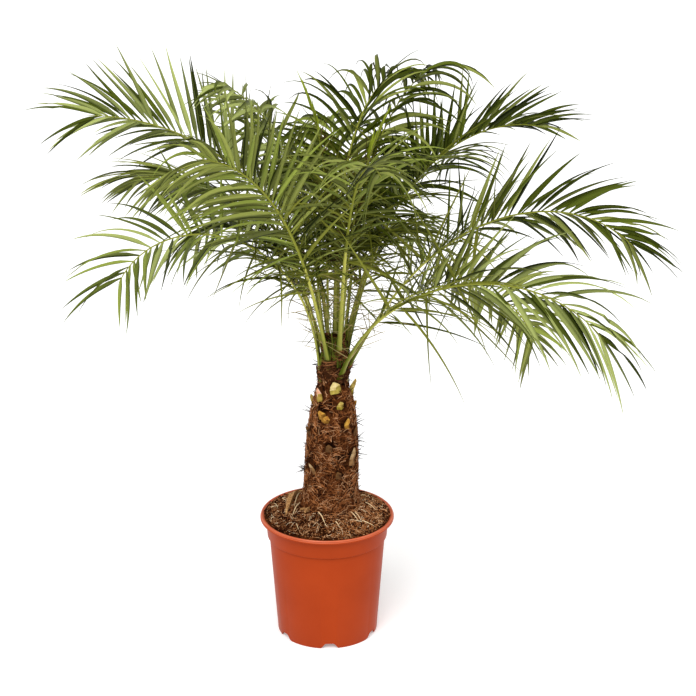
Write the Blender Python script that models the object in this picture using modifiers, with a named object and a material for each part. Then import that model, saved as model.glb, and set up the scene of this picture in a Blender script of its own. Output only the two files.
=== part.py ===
"""Pygmy date palm in a plastic nursery pot.

Metres, +Z up. The origin is the middle of the pot's flat underside, the photograph's right is +X
and the photograph looks along +Y. Angles round the plant are degrees from +X towards +Y.
"""

import math
from collections import namedtuple

import bmesh
import bpy
from mathutils import Matrix, Vector
from mathutils.bvhtree import BVHTree

# Clearance between pieces that touch on the real plant
GAP = 0.0003
SPLIT_GAP = 0.0005

# Pot: a thin-walled nursery pot with a turned-down lip, a stacking shoulder and drain notches
POT_HEIGHT = 0.226
LIP_RADIUS = 0.120
LIP_HEIGHT = 0.012
LIP_INNER_RADIUS = 0.110
WALL = 0.002
NECK_RADIUS = 0.1095
SHOULDER_HEIGHT = 0.183
SHOULDER_STEP = 0.0035
SHOULDER_EASE = 0.0015
FOOT_RADIUS = 0.090
FOOT_CHAMFER = 0.002
HUB_RADIUS = 0.058
CHANNEL_HEIGHT = 0.013
NOTCH_COUNT = 6
NOTCH_FIRST_ANGLE = -87
NOTCH_BOTTOM_WIDTH = 0.031
NOTCH_TOP_WIDTH = 0.016
NOTCH_HEIGHT = 0.0105
NOTCH_REACH = 0.012
NOTCH_BELOW = 0.004
POT_SIDES = 48

# Soil: fills the pot to just under the lip and rises in a mound to the trunk
SOIL_EDGE_DEPTH = 0.009
SOIL_TOP = 0.2447
SOIL_TOP_RADIUS = 0.062
SOIL_SIDES = 36
SOIL_MOUND = ((0.076, 0.236), (0.092, 0.2255))

# Trunk: height above the ground and radius, from the flat cut on the soil to the tip of the heart
TRUNK_PROFILE = (
    (0.245, 0.058),
    (0.258, 0.052),
    (0.280, 0.0485),
    (0.320, 0.0480),
    (0.350, 0.0470),
    (0.385, 0.0450),
    (0.410, 0.0420),
    (0.435, 0.0385),
    (0.455, 0.0340),
    (0.475, 0.0295),
    (0.500, 0.0280),
    (0.520, 0.0260),
    (0.545, 0.0200),
    (0.565, 0.0110),
)
TRUNK_SIDES = 20
TRUNK_FOOT = Vector((0.006, 0.008))
TRUNK_HEAD = Vector((0.015, 0.000))
STUB_COUNT = 30
STUB_FIRST_HEIGHT = 0.262
STUB_LAST_HEIGHT = 0.466
STUB_LENGTH = 0.026
STUB_WIDTH = 0.015
STUB_STAND = 0.005
STUB_TOP_SHARE = 0.55
STUB_MIDDLE = 0.55
STUB_FOOT_STAND = -0.00125
STUB_BACK = -0.008
GOLDEN_ANGLE = 137.5

# Fronds: a rib that bends over from its rise by its droop, and a row of leaflets along each side
RIB_BASE_WIDTH = 0.010
RIB_TIP_WIDTH = 0.003
RIB_BASE_THICKNESS = 0.0055
RIB_TIP_THICKNESS = 0.002
BLADE_START = 0.30
PETIOLE_RINGS = 6
SEAT_DEPTH = 0.003
STEPS_PER_RIB = 120
SWING_POWER = 3
RIB_TAPER_POWER = 0.7
TWIST_END = 0.8
LEAFLET_LENGTH = 0.200
LEAFLET_WIDTH = 0.015
LEAFLET_THICKNESS = 0.0019
LEAFLET_SHARE = 0.62
LEAFLET_BASE_ANGLE = 65
LEAFLET_TIP_ANGLE = 20
LEAFLET_ANGLE_POWER = 1.3
LEAFLET_FIRST_GROWTH = 0.30
LEAFLET_FULL_SHARE = 0.45
LEAFLET_TIP_LOSS = 0.32
LEAFLET_LOSS_POWER = 1.8
LEAFLET_LIFT = 18
LEAFLET_ROOT_SAG = 16
LEAFLET_TIP_SAG = 48
LEAFLET_CLEARANCE = 0.0006
LEAFLET_BEND = 0.5
LEAFLET_SPREAD = 1.1
LEAFLET_TIP_THICKNESS = 0.0013
LEAF_GREEN = (0.060, 0.125, 0.022)
LEAF_SHADES = (0.8, 1.1, 0.95, 1.2)

# Azimuth is where the frond's tip heads, and swing is how far round the crown its foot sits from
# there. Rise is the rib's slope at its foot, and droop is how far it has bent over at its tip, late
# for a high power. Roll turns the blade about its rib, positive with its right edge up. Seat is the
# height of the foot. Blade scales the leaflets' length. Split is where an arching frond is parted.
Frond = namedtuple(
    "Frond", "name azimuth swing rise droop power length roll seat pairs blade split"
)
FRONDS = (
    Frond("frond_right_high", 12, 18, 76, 95, 2.2, 0.60, -40, 0.520, 15, 0.80, 0),
    Frond("frond_right_mid", 4, -10, 63, 114, 1.75, 0.65, -62, 0.505, 16, 0.92, 0.56),
    Frond("frond_right_low", -15, -50, 60, 112, 1.5, 0.61, -88, 0.492, 15, 1.05, 0.55),
    Frond("frond_right_behind", 25, 12, 66, 138, 1.0, 0.515, -75, 0.490, 13, 0.85, 0.50),
    Frond("frond_left_low", 184, 10, 86, 155, 1.5, 0.55, 65, 0.494, 14, 0.95, 0.58),
    Frond("frond_left_front", 225, 20, 72, 62, 2.5, 0.56, 55, 0.515, 14, 0.95, 0),
    Frond("frond_left_long", 178, -44, 86, 88, 1.15, 0.66, 70, 0.518, 16, 0.95, 0),
    Frond("frond_left_behind", 162, 1, 88, 104, 1.3, 0.55, 45, 0.492, 13, 0.90, 0.55),
    Frond("frond_top_left", 192, 3, 85, 60, 2.8, 0.545, 20, 0.540, 14, 0.70, 0),
    Frond("frond_top_right", 40, -5, 83, 73, 3.0, 0.565, -20, 0.535, 13, 0.85, 0),
    Frond("frond_front", 282, 10, 82, 95, 2.2, 0.57, 0, 0.530, 14, 0.95, 0),
    Frond("frond_back_top", 60, 28, 86, 92, 2.6, 0.55, 0, 0.545, 13, 0.90, 0),
    Frond("frond_back_right", 60, -4, 66, 95, 1.6, 0.58, -25, 0.514, 13, 0.95, 0),
    Frond("frond_back_mid", 95, -13, 74, 100, 1.8, 0.60, 0, 0.514, 14, 0.95, 0),
    Frond("frond_back_left", 120, -12, 72, 80, 1.8, 0.60, 20, 0.514, 13, 0.95, 0),
    Frond("frond_back_low_right", 72, -4, 56, 110, 1.5, 0.54, 0, 0.490, 13, 0.95, 0.55),
    Frond("frond_back_low_left", 128, -13, 58, 112, 1.5, 0.55, 10, 0.490, 13, 0.95, 0.55),
    Frond("frond_heart_left", 170, 0, 90, 26, 4.0, 0.455, 10, 0.555, 11, 0.70, 0),
    Frond("frond_heart_right", 335, 0, 86, 22, 2.0, 0.42, -10, 0.555, 10, 0.65, 0),
)


def clear_scene():
    for obj in list(bpy.data.objects):
        bpy.data.objects.remove(obj)


def new_collection(name):
    collection = bpy.data.collections.new(name)
    bpy.context.scene.collection.children.link(collection)
    return collection


def plain_material(name, colour, roughness):
    material = bpy.data.materials.new(name)
    material.use_nodes = True
    shader = material.node_tree.nodes["Principled BSDF"]
    shader.inputs["Base Color"].default_value = (*colour, 1)
    shader.inputs["Roughness"].default_value = roughness
    shader.inputs["Metallic"].default_value = 0
    material.diffuse_color = (*colour, 1)
    return material


def add_object(name, mesh, material, collection):
    obj = bpy.data.objects.new(name, mesh)
    if material:
        mesh.materials.append(material)
    collection.objects.link(obj)
    return obj


def mesh_from(bm, name):
    mesh = bpy.data.meshes.new(name)
    bm.to_mesh(mesh)
    bm.free()
    return mesh


def turned(name, profile, sides, material, collection):
    """A solid of revolution about Z from (radius, height) points that run down its outer side."""
    bm = bmesh.new()
    points = [bm.verts.new((radius, 0, height)) for radius, height in profile]
    for first, second in zip(points, points[1:]):
        bm.edges.new((first, second))
    if profile[0][0] > 0:
        bm.edges.new((points[-1], points[0]))
    obj = add_object(name, mesh_from(bm, name), material, collection)
    screw = obj.modifiers.new("Turn", "SCREW")
    screw.steps = sides
    screw.render_steps = sides
    screw.use_merge_vertices = True
    screw.merge_threshold = 0.00001
    return obj


def cutter(obj):
    obj.hide_render = True
    obj.display_type = "WIRE"
    return obj


def boolean(obj, operation, other):
    change = obj.modifiers.new(operation.title(), "BOOLEAN")
    change.operation = operation
    change.solver = "EXACT"
    if isinstance(other, bpy.types.Collection):
        change.operand_type = "COLLECTION"
        change.collection = other
    else:
        change.object = other


def bake_modifiers(obj):
    """The object's evaluated shape becomes its mesh, and its modifiers go."""
    bpy.context.view_layer.update()
    graph = bpy.context.evaluated_depsgraph_get()
    mesh = bpy.data.meshes.new_from_object(obj.evaluated_get(graph))
    obj.modifiers.clear()
    obj.data = mesh


def round_off(obj, angle=35):
    obj.data.shade_smooth()
    obj.data.set_sharp_from_angle(angle=math.radians(angle))


def pot_outer_radius(height):
    """Radius of the pot's wall below its lip, with the step of the stacking shoulder."""
    slope = (NECK_RADIUS - SHOULDER_STEP - FOOT_RADIUS) / (POT_HEIGHT - LIP_HEIGHT)
    step = SHOULDER_STEP if height >= SHOULDER_HEIGHT else 0
    return FOOT_RADIUS + slope * height + step


def build_pot(collection, cutters):
    top = POT_HEIGHT
    lip_foot = POT_HEIGHT - LIP_HEIGHT
    shoulder = SHOULDER_HEIGHT
    ease = SHOULDER_EASE
    outer = [
        (LIP_INNER_RADIUS + ease, top),
        (LIP_RADIUS - 2 * ease, top),
        (LIP_RADIUS - ease / 2, top - ease / 2),
        (LIP_RADIUS, top - 2 * ease),
        (LIP_RADIUS - ease / 3, lip_foot),
        (LIP_RADIUS - WALL, lip_foot),
        (LIP_RADIUS - WALL, top - WALL - ease),
        (pot_outer_radius(lip_foot) + ease, top - WALL - ease),
        (pot_outer_radius(lip_foot), lip_foot),
        (pot_outer_radius(shoulder), shoulder + ease),
        (pot_outer_radius(shoulder - ease), shoulder - ease),
        (pot_outer_radius(FOOT_CHAMFER), FOOT_CHAMFER),
        (FOOT_RADIUS - FOOT_CHAMFER / 2, 0),
        (FOOT_RADIUS - FOOT_CHAMFER / 2 - WALL, 0),
        (FOOT_RADIUS - FOOT_CHAMFER / 2 - WALL, CHANNEL_HEIGHT),
        (HUB_RADIUS + WALL, CHANNEL_HEIGHT),
        (HUB_RADIUS, 0),
        (0, 0),
    ]
    floor = CHANNEL_HEIGHT + WALL
    inner = [
        (0, WALL),
        (HUB_RADIUS - WALL, WALL),
        (HUB_RADIUS, floor),
        (pot_outer_radius(floor) - WALL, floor),
        (pot_outer_radius(shoulder - ease) - WALL, shoulder - ease),
        (pot_outer_radius(shoulder) - WALL, shoulder + ease),
        (pot_outer_radius(lip_foot) - WALL, lip_foot),
        (LIP_INNER_RADIUS - ease / 2, top - ease),
    ]
    material = plain_material("terracotta_plastic", (0.48, 0.062, 0.018), 0.42)
    pot = turned("pot", outer + inner, POT_SIDES, material, collection)
    for index in range(NOTCH_COUNT):
        notch = notch_cutter(f"notch_{index}", cutters)
        angle = math.radians(NOTCH_FIRST_ANGLE + 360 / NOTCH_COUNT * index)
        notch.rotation_euler = (0, 0, angle)
        boolean(pot, "DIFFERENCE", notch)
    bake_modifiers(pot)
    round_off(pot)
    return pot


def notch_cutter(name, cutters):
    """A wedge that opens downwards, lying across the skirt on the +X side."""
    bm = bmesh.new()
    bmesh.ops.create_cube(bm, size=1)
    slope = (NOTCH_BOTTOM_WIDTH - NOTCH_TOP_WIDTH) / NOTCH_HEIGHT
    for vert in bm.verts:
        width = NOTCH_TOP_WIDTH
        height = NOTCH_HEIGHT
        if vert.co.z < 0:
            width = NOTCH_BOTTOM_WIDTH + slope * NOTCH_BELOW
            height = -NOTCH_BELOW
        vert.co.y *= width
        vert.co.z = height
        vert.co.x = FOOT_RADIUS + math.copysign(NOTCH_REACH, vert.co.x)
    return cutter(add_object(name, mesh_from(bm, name), None, cutters))


def build_soil(collection):
    floor = CHANNEL_HEIGHT + WALL + GAP
    edge = POT_HEIGHT - SOIL_EDGE_DEPTH
    shoulder = SHOULDER_HEIGHT
    inset = WALL + 2 * GAP
    profile = [
        (0, SOIL_TOP),
        (SOIL_TOP_RADIUS, SOIL_TOP),
        *SOIL_MOUND,
        (pot_outer_radius(edge) - inset, edge),
        (pot_outer_radius(shoulder) - inset, shoulder + SHOULDER_EASE),
        (pot_outer_radius(shoulder - SHOULDER_EASE) - inset, shoulder - SHOULDER_EASE),
        (pot_outer_radius(floor) - inset, floor),
        (HUB_RADIUS - GAP, floor),
        (HUB_RADIUS - WALL - 2 * GAP, WALL + GAP),
        (0, WALL + GAP),
    ]
    material = plain_material("potting_soil", (0.055, 0.028, 0.012), 0.95)
    soil = turned("soil", profile, SOIL_SIDES, material, collection)
    bake_modifiers(soil)
    round_off(soil)
    return soil


def trunk_middle(height):
    """Where the leaning trunk's axis is at a height."""
    foot = TRUNK_PROFILE[0][0]
    head = TRUNK_PROFILE[-1][0]
    share = (height - foot) / (head - foot)
    return TRUNK_FOOT.lerp(TRUNK_HEAD, share)


def trunk_radius(height):
    for (low, low_radius), (high, high_radius) in zip(TRUNK_PROFILE, TRUNK_PROFILE[1:]):
        if height <= high:
            share = (height - low) / (high - low)
            return low_radius + share * (high_radius - low_radius)
    return TRUNK_PROFILE[-1][1]


def trunk_core(name, grow, material, collection):
    """The turned trunk, leaned over, with its radius and its tip grown by a clearance."""
    profile = [(0, TRUNK_PROFILE[-1][0] + grow)]
    profile += [(radius + grow, height) for height, radius in reversed(TRUNK_PROFILE)]
    profile[1] = (profile[1][0], profile[0][1])
    profile.append((0, TRUNK_PROFILE[0][0]))
    core = turned(name, profile, TRUNK_SIDES, material, collection)
    bake_modifiers(core)
    for vert in core.data.vertices:
        middle = trunk_middle(vert.co.z)
        vert.co.x += middle.x
        vert.co.y += middle.y
    return core


def stub_mesh(name):
    """One cut leaf base: a blunt wedge along +Z that leans out to +X at its top."""
    bm = bmesh.new()
    bmesh.ops.create_cube(bm, size=1)
    for vert in bm.verts:
        top = vert.co.z > 0
        outer = vert.co.x > 0
        vert.co.y *= STUB_WIDTH * (STUB_TOP_SHARE if top else 1)
        vert.co.z = STUB_LENGTH * (1 - STUB_MIDDLE if top else -STUB_MIDDLE)
        vert.co.x = STUB_STAND if top else STUB_FOOT_STAND
        if not outer:
            vert.co.x = STUB_BACK
    return mesh_from(bm, name)


def build_trunk(collection, helpers):
    material = plain_material("trunk_fibre", (0.145, 0.058, 0.024), 0.9)
    trunk = trunk_core("trunk", 0, material, collection)
    for index in range(STUB_COUNT):
        share = index / (STUB_COUNT - 1)
        height = STUB_FIRST_HEIGHT + share * (STUB_LAST_HEIGHT - STUB_FIRST_HEIGHT)
        angle = math.radians(GOLDEN_ANGLE * index)
        middle = trunk_middle(height)
        radius = trunk_radius(height)
        place = Vector((middle.x, middle.y, height))
        place += Vector((math.cos(angle), math.sin(angle), 0)) * radius
        stub = add_object(f"stub_{index}", stub_mesh("stub"), None, helpers)
        stub.matrix_world = Matrix.Translation(place) @ Matrix.Rotation(angle, 4, "Z")
    boolean(trunk, "UNION", helpers)
    bake_modifiers(trunk)
    for stub in list(helpers.objects):
        bpy.data.objects.remove(stub)
    round_off(trunk)
    return trunk


def smooth_step(value):
    value = min(max(value, 0), 1)
    return value * value * (3 - 2 * value)


def rib_turn(frond, share):
    """Angle round the plant, in radians, that the rib heads at, its azimuth by its tip."""
    return math.radians(frond.azimuth + frond.swing * (1 - share) ** SWING_POWER)


def heading(frond, share):
    """Unit direction of the rib at a share of its length."""
    slope = math.radians(frond.rise - frond.droop * share**frond.power)
    turn = rib_turn(frond, share)
    return Vector(
        (
            math.cos(slope) * math.cos(turn),
            math.cos(slope) * math.sin(turn),
            math.sin(slope),
        )
    )


def frond_foot(frond):
    """Where the rib's middle line starts, just inside the trunk's skin."""
    turn = rib_turn(frond, 0)
    middle = trunk_middle(frond.seat)
    out = Vector((math.cos(turn), math.sin(turn), 0))
    return Vector((middle.x, middle.y, frond.seat)) + out * (
        trunk_radius(frond.seat) - SEAT_DEPTH
    )


def rib_places(frond, shares):
    """Point, direction, side and normal of the rib at each of the rising shares."""
    place = frond_foot(frond)
    done = 0
    found = []
    for share in shares:
        while done < share:
            step = min(1 / STEPS_PER_RIB, share - done)
            place = place + heading(frond, done + step / 2) * frond.length * step
            done += step
        along = heading(frond, share)
        turn = rib_turn(frond, share)
        side = Vector((math.sin(turn), -math.cos(turn), 0))
        twist = math.radians(frond.roll * smooth_step(share / TWIST_END))
        side = Matrix.Rotation(twist, 3, along) @ side
        found.append((place.copy(), along, side, side.cross(along)))
    return found


def rib_width(share):
    return RIB_BASE_WIDTH + (RIB_TIP_WIDTH - RIB_BASE_WIDTH) * share**RIB_TAPER_POWER


def rib_thickness(share):
    return RIB_BASE_THICKNESS + (RIB_TIP_THICKNESS - RIB_BASE_THICKNESS) * share


def rib_shares(frond):
    """Shares of the rib's rings: the petiole's, then two to each pair of leaflets, then the tip."""
    shares = [BLADE_START * index / PETIOLE_RINGS for index in range(PETIOLE_RINGS)]
    spacing = (1 - BLADE_START) / frond.pairs
    for index in range(frond.pairs):
        start = BLADE_START + spacing * index
        shares += [start, start + spacing * LEAFLET_SHARE]
    return shares + [1.0]


def leaflet_angle(share):
    """Angle between a leaflet and the rib, in radians, at a share of the blade."""
    fall = (LEAFLET_BASE_ANGLE - LEAFLET_TIP_ANGLE) * share**LEAFLET_ANGLE_POWER
    return math.radians(LEAFLET_BASE_ANGLE - fall)


def leaflet_length(frond, share):
    """Short at the blade's foot, longest near its middle and a third shorter at its tip."""
    grown = smooth_step(LEAFLET_FIRST_GROWTH + share / LEAFLET_FULL_SHARE)
    kept = 1 - LEAFLET_TIP_LOSS * share**LEAFLET_LOSS_POWER
    return LEAFLET_LENGTH * frond.blade * grown * kept


def sagged(direction, sag):
    """The direction let down by a sag in degrees, which an upright leaflet hardly feels."""
    level = math.hypot(direction.x, direction.y)
    drop = math.tan(math.radians(sag)) * level
    return (direction + Vector((0, 0, -drop))).normalized()


def leaflet_points(frond, place, blade_share, side_sign, root_length):
    """The two points at the bend and the tip, on the leaflet's middle sheet."""
    middle, along, side, normal = place
    angle = leaflet_angle(blade_share)
    lift = math.radians(LEAFLET_LIFT)
    across = side * side_sign * math.cos(lift) + normal * math.sin(lift)
    direction = along * math.cos(angle) + across * math.sin(angle)
    length = leaflet_length(frond, blade_share)
    width = min(LEAFLET_WIDTH, root_length * math.sin(angle) * LEAFLET_SPREAD)
    spread = (along - direction * along.dot(direction)).normalized()
    root_middle = middle + along * root_length / 2
    bend = root_middle + sagged(direction, LEAFLET_ROOT_SAG) * length * LEAFLET_BEND
    tip = bend + sagged(direction, LEAFLET_TIP_SAG) * length * (1 - LEAFLET_BEND)
    return bend - spread * width / 2, bend + spread * width / 2, tip


def leaflet_slab(corners, tip, thickness):
    """A closed plate round a leaflet's middle sheet, for the touching test."""
    root_start, root_end, bend_end, bend_start = corners
    normal = (root_end - root_start).cross(bend_start - root_start).normalized()
    sheet = [root_start, root_end, bend_end, bend_start, tip]
    points = [point + normal * thickness / 2 for point in sheet]
    points += [point - normal * thickness / 2 for point in sheet]
    faces = [(0, 1, 2, 3), (3, 2, 4), (5, 8, 7, 6), (8, 9, 7)]
    rim = (0, 1, 2, 4, 3)
    for first, second in zip(rim, rim[1:] + rim[:1]):
        faces.append((first, first + 5, second + 5, second))
    return points, faces


def rib_slab(places, shares, margin):
    """A closed square tube round a rib, for the touching test."""
    points = []
    faces = []
    for (place, _, side, normal), share in zip(places, shares):
        half = rib_width(share) / 2 + margin
        deep = rib_thickness(share) / 2 + margin
        for across, up in ((-1, -1), (1, -1), (1, 1), (-1, 1)):
            points.append(place + side * half * across + normal * deep * up)
    for ring in range(len(places) - 1):
        for corner in range(4):
            after = (corner + 1) % 4
            low = ring * 4
            faces.append((low + corner, low + after, low + 4 + after, low + 4 + corner))
    return points, faces


def tree_of(slabs):
    points = []
    faces = []
    for slab_points, slab_faces in slabs:
        shift = len(points)
        points += slab_points
        faces += [tuple(index + shift for index in face) for face in slab_faces]
    return BVHTree.FromPolygons(points, faces)


def touches(slab, tree):
    return bool(BVHTree.FromPolygons(*slab).overlap(tree))


class FrondSheet:
    """The open middle sheet of one frond: its rib strip and the leaflets kept on it."""

    def __init__(self, frond):
        self.frond = frond
        self.shares = rib_shares(frond)
        self.places = rib_places(frond, self.shares)
        self.leaflets = []

    def rib_corner(self, ring, side_sign):
        place, _, side, _ = self.places[ring]
        return place + side * side_sign * rib_width(self.shares[ring]) / 2

    def candidates(self):
        """Each leaflet as (ring, side, corners, tip)."""
        for pair in range(self.frond.pairs):
            ring = PETIOLE_RINGS + 2 * pair
            blade_share = pair / (self.frond.pairs - 1)
            start, end = self.places[ring][0], self.places[ring + 1][0]
            for side_sign in (-1, 1):
                bend_start, bend_end, tip = leaflet_points(
                    self.frond,
                    self.places[ring],
                    blade_share,
                    side_sign,
                    (end - start).length,
                )
                corners = (
                    self.rib_corner(ring, side_sign),
                    self.rib_corner(ring + 1, side_sign),
                    bend_end,
                    bend_start,
                )
                yield ring, side_sign, corners, tip

    def keep_clear_leaflets(self, others):
        """Keeps the leaflets that touch no solid of the others, and returns their slabs."""
        tree = tree_of(others)
        kept = []
        for ring, side_sign, corners, tip in self.candidates():
            slab = leaflet_slab(corners, tip, LEAFLET_THICKNESS + 2 * LEAFLET_CLEARANCE)
            if touches(slab, tree):
                continue
            self.leaflets.append((ring, side_sign, corners, tip))
            kept.append(slab)
        return kept

    def to_mesh(self, name, first_ring, last_ring):
        """The sheet from one ring to another, with each vertex's share of the full thickness."""
        bm = bmesh.new()
        weight = bm.verts.layers.float.new("thickness")

        def vertex(point, thickness):
            vert = bm.verts.new(point)
            vert[weight] = thickness / RIB_BASE_THICKNESS
            return vert

        edges = {-1: {}, 1: {}}
        for ring in range(first_ring, last_ring + 1):
            for side_sign in (-1, 1):
                corner = self.rib_corner(ring, side_sign)
                edges[side_sign][ring] = vertex(corner, rib_thickness(self.shares[ring]))
            if ring > first_ring:
                bm.faces.new(
                    (
                        edges[-1][ring - 1],
                        edges[1][ring - 1],
                        edges[1][ring],
                        edges[-1][ring],
                    )
                )
        for ring, side_sign, corners, tip in self.leaflets:
            if not first_ring <= ring < last_ring:
                continue
            bend_end = vertex(corners[2], LEAFLET_THICKNESS)
            bend_start = vertex(corners[3], LEAFLET_THICKNESS)
            point = vertex(tip, LEAFLET_TIP_THICKNESS)
            root_start = edges[side_sign][ring]
            root_end = edges[side_sign][ring + 1]
            outline = (root_start, bend_start, bend_end, root_end)
            tip_outline = (bend_start, point, bend_end)
            if side_sign < 0:
                outline = outline[::-1]
                tip_outline = tip_outline[::-1]
            bm.faces.new(outline)
            bm.faces.new(tip_outline)
        thicknesses = [vert[weight] for vert in bm.verts]
        bm.verts.layers.float.remove(weight)
        return mesh_from(bm, name), thicknesses


def solid_frond(name, mesh, thicknesses, material, collection, trunk_cutter):
    obj = add_object(name, mesh, material, collection)
    group = obj.vertex_groups.new(name="thickness")
    for index, share in enumerate(thicknesses):
        group.add([index], share, "REPLACE")
    solid = obj.modifiers.new("Thickness", "SOLIDIFY")
    solid.thickness = RIB_BASE_THICKNESS
    solid.offset = 0
    solid.vertex_group = group.name
    if trunk_cutter:
        boolean(obj, "DIFFERENCE", trunk_cutter)
    return obj


def build_fronds(collection, cutters):
    trunk_cutter = cutter(trunk_core("trunk_clearance", GAP, None, cutters))
    sheets = [FrondSheet(frond) for frond in FRONDS]
    ribs = [
        rib_slab(sheet.places, sheet.shares, LEAFLET_CLEARANCE) for sheet in sheets
    ]
    kept = [[] for _ in sheets]
    for index, sheet in enumerate(sheets):
        others = [rib for other, rib in enumerate(ribs) if other != index]
        for other, slabs in enumerate(kept):
            if other != index:
                others += slabs
        kept[index] = sheet.keep_clear_leaflets(others)
    for index, sheet in enumerate(sheets):
        shade = LEAF_SHADES[index % len(LEAF_SHADES)]
        green = plain_material(
            f"leaf_green_{index}", tuple(shade * part for part in LEAF_GREEN), 0.45
        )
        frond = sheet.frond
        last = len(sheet.shares) - 1
        if not frond.split:
            mesh, thicknesses = sheet.to_mesh(frond.name, 0, last)
            solid_frond(frond.name, mesh, thicknesses, green, collection, trunk_cutter)
            continue
        bend = split_ring(sheet)
        inner, inner_thicknesses = sheet.to_mesh(frond.name + "_inner", 0, bend)
        outer, outer_thicknesses = sheet.to_mesh(frond.name + "_outer", bend, last)
        step = sheet.places[bend][1] * SPLIT_GAP
        for index_in_ring in range(2):
            outer.vertices[index_in_ring].co += step
        solid_frond(
            frond.name + "_inner", inner, inner_thicknesses, green, collection, trunk_cutter
        )
        solid_frond(
            frond.name + "_outer", outer, outer_thicknesses, green, collection, None
        )


def split_ring(sheet):
    """The ring that starts a pair of leaflets next to the frond's split."""
    starts = range(PETIOLE_RINGS, len(sheet.shares) - 1, 2)
    return min(starts, key=lambda ring: abs(sheet.shares[ring] - sheet.frond.split))


def build():
    clear_scene()
    palm = new_collection("pygmy_date_palm")
    cutters = new_collection("cutters")
    stubs = new_collection("stubs")
    build_pot(palm, cutters)
    build_soil(palm)
    build_trunk(palm, stubs)
    build_fronds(palm, cutters)
    bpy.data.collections.remove(stubs)


build()
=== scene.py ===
"""Looks of a pygmy date palm in its plastic nursery pot.

Metres, +Z up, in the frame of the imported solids: the photograph's right is +X and it looks along +Y.
Fronds, trunk and compost follow the same rules as their solids, carried on to single leaflets,
spines, leaf bases, fibres, crumbs and roots.
"""

import math
from collections import namedtuple

import bmesh
import bpy
import numpy as np
from mathutils import Matrix, Vector


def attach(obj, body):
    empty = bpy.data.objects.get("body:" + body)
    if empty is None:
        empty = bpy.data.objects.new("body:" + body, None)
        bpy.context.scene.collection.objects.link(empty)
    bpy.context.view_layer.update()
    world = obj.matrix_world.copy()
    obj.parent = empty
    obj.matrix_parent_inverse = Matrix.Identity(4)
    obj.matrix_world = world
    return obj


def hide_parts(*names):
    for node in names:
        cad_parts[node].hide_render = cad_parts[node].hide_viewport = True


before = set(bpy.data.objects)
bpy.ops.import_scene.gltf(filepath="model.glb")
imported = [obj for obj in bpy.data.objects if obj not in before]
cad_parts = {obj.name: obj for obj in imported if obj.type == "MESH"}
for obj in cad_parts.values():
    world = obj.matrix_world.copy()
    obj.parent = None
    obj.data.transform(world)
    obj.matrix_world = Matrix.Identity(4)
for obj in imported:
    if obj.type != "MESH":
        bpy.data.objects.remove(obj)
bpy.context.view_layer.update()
chance = np.random.default_rng(41)
between = chance.uniform
bell = chance.normal
UP = np.array((0.0, 0.0, 1.0))

# Pot
POT_HEIGHT = 0.2268
POT_SIDES = 144
LIP_RADIUS = 0.12
LIP_HEIGHT = 0.0068
LIP_INNER_RADIUS = 0.1152
LIP_BEAD = 0.0034
LIP_GROOVE = 0.0011
LIP_WEB = 0.0016
WALL = 0.002
WALL_FLARE = 0.0748
SHOULDER_HEIGHT = 0.1875
SHOULDER_STEP = 0.0035
SHOULDER_EASE = 0.0008
FOOT_RADIUS = 0.09
FOOT_CHAMFER = 0.002
HUB_RADIUS = 0.058
CHANNEL_HEIGHT = 0.013
NOTCH_COUNT = 6
NOTCH_FIRST_ANGLE = -87
NOTCH_BOTTOM_WIDTH = 0.031
NOTCH_TOP_WIDTH = 0.016
NOTCH_HEIGHT = 0.0105

# Compost: the mound's radius and height, from the trunk out to the pot's wall
SOIL_MOUND = ((0.06, 0.2447), (0.076, 0.2385), (0.092, 0.2315), (0.1135, 0.2258))
SOIL_RING_STEP = 0.002
SOIL_REACH = 0.108

# Trunk
TRUNK_HEIGHTS = (
    0.245, 0.258, 0.28, 0.32, 0.35, 0.385, 0.41, 0.435, 0.455, 0.475, 0.5, 0.52, 0.545, 0.565
)
TRUNK_RADII = (
    0.058, 0.052, 0.0485, 0.048, 0.047, 0.045, 0.042, 0.0385, 0.034, 0.0295, 0.028, 0.026, 0.02, 0.011
)
TRUNK_FOOT = np.array((0.006, 0.008))
TRUNK_HEAD = np.array((0.015, 0.0))
TRUNK_SIDES = 96
TRUNK_RING_STEP = 0.003
CORE_INSET = 0.004
GOLDEN_ANGLE = 137.5
FIBRE_SCARS = 66
FIBRES_EACH = 58
FIBRES_OVER = 2600
FIBRE_THIN = 0.00028
FIBRE_THICK = 0.00062
HUSK_SCARS = 90
HUSKS_EACH = 3
HUSK_THICK = 0.0005
LONE_HAIRS = 60
# Hollows beside old leaf bases, where the core is sunk and the fibres are left out. The dent is shaded by
# the lamps, and the bared dark core adds painted shade: angle in degrees, height, and half width
HOLLOWS = (
    (-151, 0.329, 0.013), (-30, 0.352, 0.011), (-54, 0.335, 0.01), (60, 0.35, 0.011),
    (140, 0.4, 0.01), (15, 0.3, 0.01), (100, 0.29, 0.01), (-104, 0.366, 0.008),
    (-100, 0.452, 0.006), (-48, 0.478, 0.006), (-125, 0.395, 0.006), (-66, 0.38, 0.006),
)
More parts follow.
